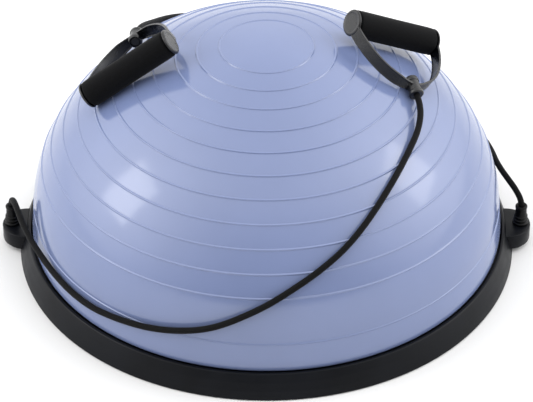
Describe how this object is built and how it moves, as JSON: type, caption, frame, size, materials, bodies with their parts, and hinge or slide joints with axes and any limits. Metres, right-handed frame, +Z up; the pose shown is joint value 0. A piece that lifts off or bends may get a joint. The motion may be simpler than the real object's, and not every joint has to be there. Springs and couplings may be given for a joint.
{
  "type": "balance dome trainer",
  "caption": "Half-dome balance trainer: inflated ribbed dome on a round dark base with side ears, elastic bands and foam-grip handles lying over the dome.",
  "frame": {"origin": "centre of the base on the floor, under the middle of the dome", "axes": "+X from the left ear to the right ear, +Y to the back, +Z up through the top of the dome"},
  "size_m": [0.6266, 0.585, 0.3067],
  "materials": {
    "platform_plastic": "satin",
    "clamp_plastic": "satin",
    "dome_vinyl": "glossy",
    "valve_vinyl": "glossy",
    "plug_vinyl": "glossy",
    "screw_steel": "zinc plated",
    "pad_rubber": "matte",
    "sleeve_rubber": "satin",
    "stop_plastic": "satin",
    "band_braid": "braided",
    "grip_foam": "fine closed-cell foam",
    "core_plastic": "satin",
    "stirrup_plastic": "satin"
  },
  "bodies": {
    "trainer": {"base_platform": "platform_plastic", "clamp_ring": "clamp_plastic", "clamp_screw_1": "screw_steel", "clamp_screw_2": "screw_steel", "clamp_screw_3": "screw_steel", "clamp_screw_4": "screw_steel", "clamp_screw_5": "screw_steel", "clamp_screw_6": "screw_steel", "clamp_screw_7": "screw_steel", "clamp_screw_8": "screw_steel", "foot_pad_1": "pad_rubber", "foot_pad_2": "pad_rubber", "foot_pad_3": "pad_rubber", "foot_pad_4": "pad_rubber", "foot_pad_5": "pad_rubber", "foot_pad_6": "pad_rubber", "dome_bladder": "dome_vinyl", "valve_collar": "valve_vinyl", "left_band_sleeve": "sleeve_rubber", "right_band_sleeve": "sleeve_rubber", "left_band_stop": "stop_plastic", "right_band_stop": "stop_plastic", "front_band": "band_braid", "back_band": "band_braid"},
    "right_handle": {"right_stirrup": "stirrup_plastic", "right_band_plug": "stop_plastic"},
    "right_grip": {"right_grip_foam": "grip_foam", "right_grip_core": "core_plastic"},
    "left_handle": {"left_stirrup": "stirrup_plastic", "left_band_plug": "stop_plastic"},
    "left_grip": {"left_grip_foam": "grip_foam", "left_grip_core": "core_plastic"},
    "plug": {"valve_plug": "plug_vinyl"}
  },
  "joints": [
    {"name": "right_handle_lift", "type": "slide", "parent": "trainer", "child": "right_handle", "axis": [0, 0, 1], "range_m": [0, 0.25]},
    {"name": "left_handle_lift", "type": "slide", "parent": "trainer", "child": "left_handle", "axis": [0, 0, 1], "range_m": [0, 0.25]},
    {"name": "right_grip_spin", "type": "hinge", "parent": "right_handle", "child": "right_grip", "pos_m": [0.1444, 0.0475, 0.2637], "axis": [-0.7914, -0.3826, 0.4767], "continuous": true},
    {"name": "left_grip_spin", "type": "hinge", "parent": "left_handle", "child": "left_grip", "pos_m": [-0.1559, -0.0192, 0.2588], "axis": [0.804, 0.0357, 0.5936], "continuous": true},
    {"name": "valve_plug_pull", "type": "slide", "parent": "trainer", "child": "plug", "axis": [0, 1, 0], "range_m": [0, 0.02]}
  ]
}
